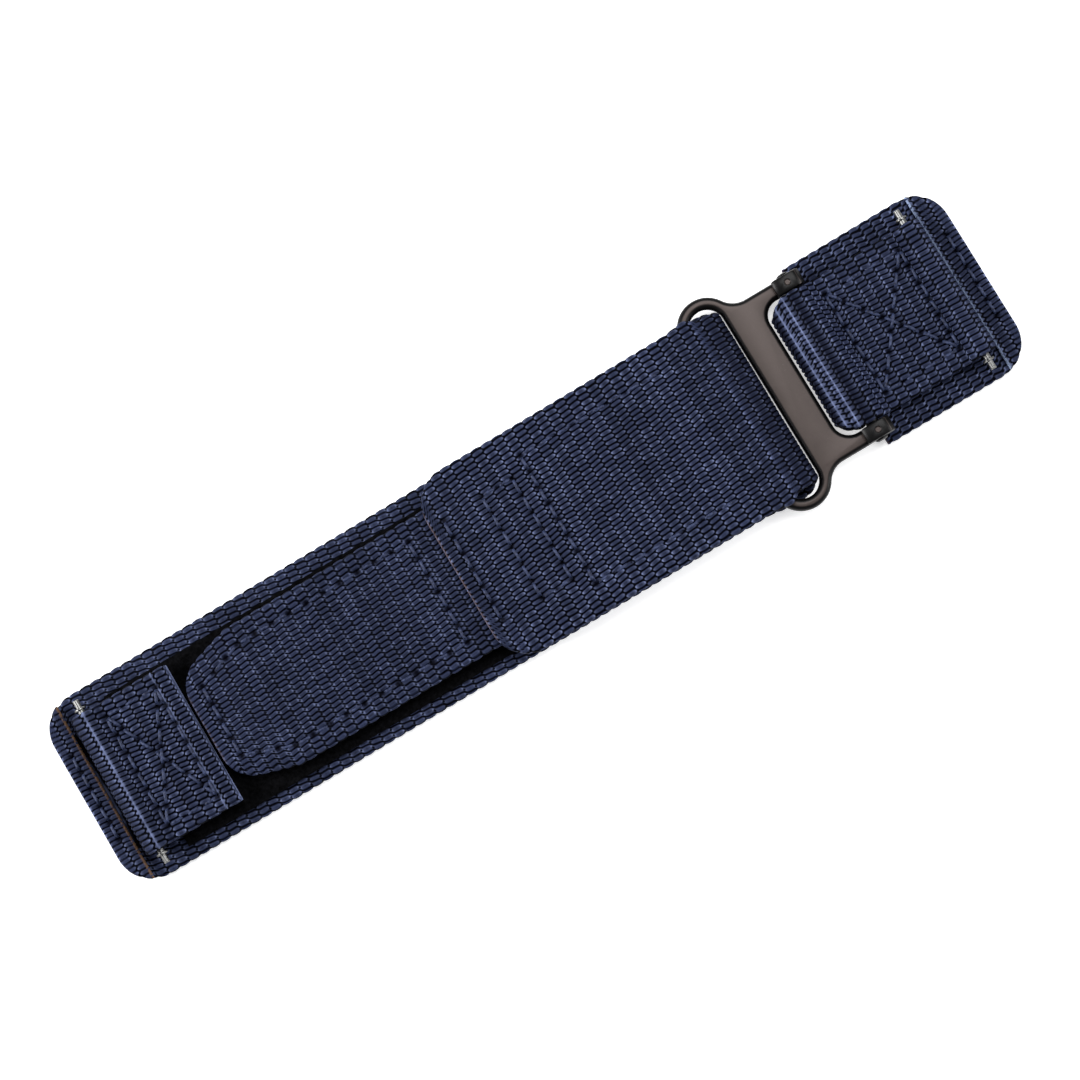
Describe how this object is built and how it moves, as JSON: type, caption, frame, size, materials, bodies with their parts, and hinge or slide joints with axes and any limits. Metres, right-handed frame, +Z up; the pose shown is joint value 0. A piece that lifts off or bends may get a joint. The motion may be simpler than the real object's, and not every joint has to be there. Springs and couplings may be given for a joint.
{
  "type": "fitness tracker band",
  "caption": "Nylon hook-and-loop band for a watch or fitness tracker: a long strap folded back through a metal slot buckle, a short looped piece, and a sprung bar in a loop at each end.",
  "frame": {"origin": "under the middle of the band, on the surface that it lies on", "axes": "+X along the band from the long piece towards the short piece, +Y across it, +Z up"},
  "size_m": [0.1368, 0.0316, 0.0055],
  "materials": {
    "navy_webbing": "matt woven nylon webbing",
    "navy_thread": "satin sewing thread",
    "black_pile": "soft brushed loop pile",
    "black_hook": "moulded nylon hooks on a woven tape",
    "gunmetal": "satin gunmetal coating",
    "bar_steel": "turned stainless steel"
  },
  "bodies": {
    "long_strap": {"base_webbing": "navy_webbing", "left_end_patch": "navy_webbing", "left_lug_loop": "navy_webbing", "loop_pile_patch": "black_pile", "left_end_stitching": "navy_thread", "left_lug_stitching": "navy_thread"},
    "tail": {"tail_webbing": "navy_webbing", "tail_hook_patch": "black_hook", "tongue_root_webbing": "navy_webbing", "tongue_root_hook_patch": "black_hook", "tail_end_stitching": "navy_thread", "tail_box_stitching": "navy_thread", "tail_edge_stitching": "navy_thread"},
    "tongue": {"tongue_webbing": "navy_webbing", "tongue_hook_patch": "black_hook", "tongue_edge_stitching": "navy_thread"},
    "buckle": {"buckle_frame": "gunmetal", "buckle_pin": "gunmetal"},
    "short_strap": {"short_pad_webbing": "navy_webbing", "short_loop_webbing": "navy_webbing", "right_end_patch": "navy_webbing", "short_piece_stitching": "navy_thread", "right_end_stitching": "navy_thread"},
    "left_spring_bar": {"left_spring_bar_tube": "bar_steel", "left_spring_bar_spring": "bar_steel"},
    "left_tip_rear": {"left_spring_bar_tip_rear": "bar_steel"},
    "left_tip_front": {"left_spring_bar_tip_front": "bar_steel"},
    "right_spring_bar": {"right_spring_bar_tube": "bar_steel", "right_spring_bar_spring": "bar_steel"},
    "right_tip_rear": {"right_spring_bar_tip_rear": "bar_steel"},
    "right_tip_front": {"right_spring_bar_tip_front": "bar_steel"}
  },
  "joints": [
    {"name": "tail_peel", "type": "hinge", "parent": "long_strap", "child": "tail", "pos_m": [0.03319, 0, 0.00251], "axis": [0, 1, 0], "range_deg": [0, 80]},
    {"name": "tongue_peel", "type": "hinge", "parent": "tail", "child": "tongue", "pos_m": [-0.0121, 0, 0.00379], "axis": [0, 1, 0], "range_deg": [0, 115]},
    {"name": "buckle_swing", "type": "hinge", "parent": "long_strap", "child": "buckle", "pos_m": [0.03045, 0, 0.00251], "axis": [0, 1, 0], "range_deg": [-45, 35]},
    {"name": "short_strap_swing", "type": "hinge", "parent": "buckle", "child": "short_strap", "pos_m": [0.0454, 0, 0.00338], "axis": [0, 1, 0], "range_deg": [-90, 45]},
    {"name": "left_bar_spin", "type": "hinge", "parent": "long_strap", "child": "left_spring_bar", "pos_m": [-0.0627, 0, 0.00323], "axis": [0, 1, 0], "continuous": true},
    {"name": "left_tip_rear_press", "type": "slide", "parent": "left_spring_bar", "child": "left_tip_rear", "axis": [0, -1, 0], "range_m": [0, 0.0012], "stiffness_N_per_m": 1500, "springref_m": -0.0004, "deforming": ["left_spring_bar_spring"]},
    {"name": "left_tip_front_press", "type": "slide", "parent": "left_spring_bar", "child": "left_tip_front", "axis": [0, 1, 0], "range_m": [0, 0.0012], "stiffness_N_per_m": 1500, "springref_m": -0.0004},
    {"name": "right_bar_spin", "type": "hinge", "parent": "short_strap", "child": "right_spring_bar", "pos_m": [0.0626, 0, 0.00323], "axis": [0, 1, 0], "continuous": true},
    {"name": "right_tip_rear_press", "type": "slide", "parent": "right_spring_bar", "child": "right_tip_rear", "axis": [0, -1, 0], "range_m": [0, 0.0012], "stiffness_N_per_m": 1500, "springref_m": -0.0004, "deforming": ["right_spring_bar_spring"]},
    {"name": "right_tip_front_press", "type": "slide", "parent": "right_spring_bar", "child": "right_tip_front", "axis": [0, 1, 0], "range_m": [0, 0.0012], "stiffness_N_per_m": 1500, "springref_m": -0.0004}
  ]
}
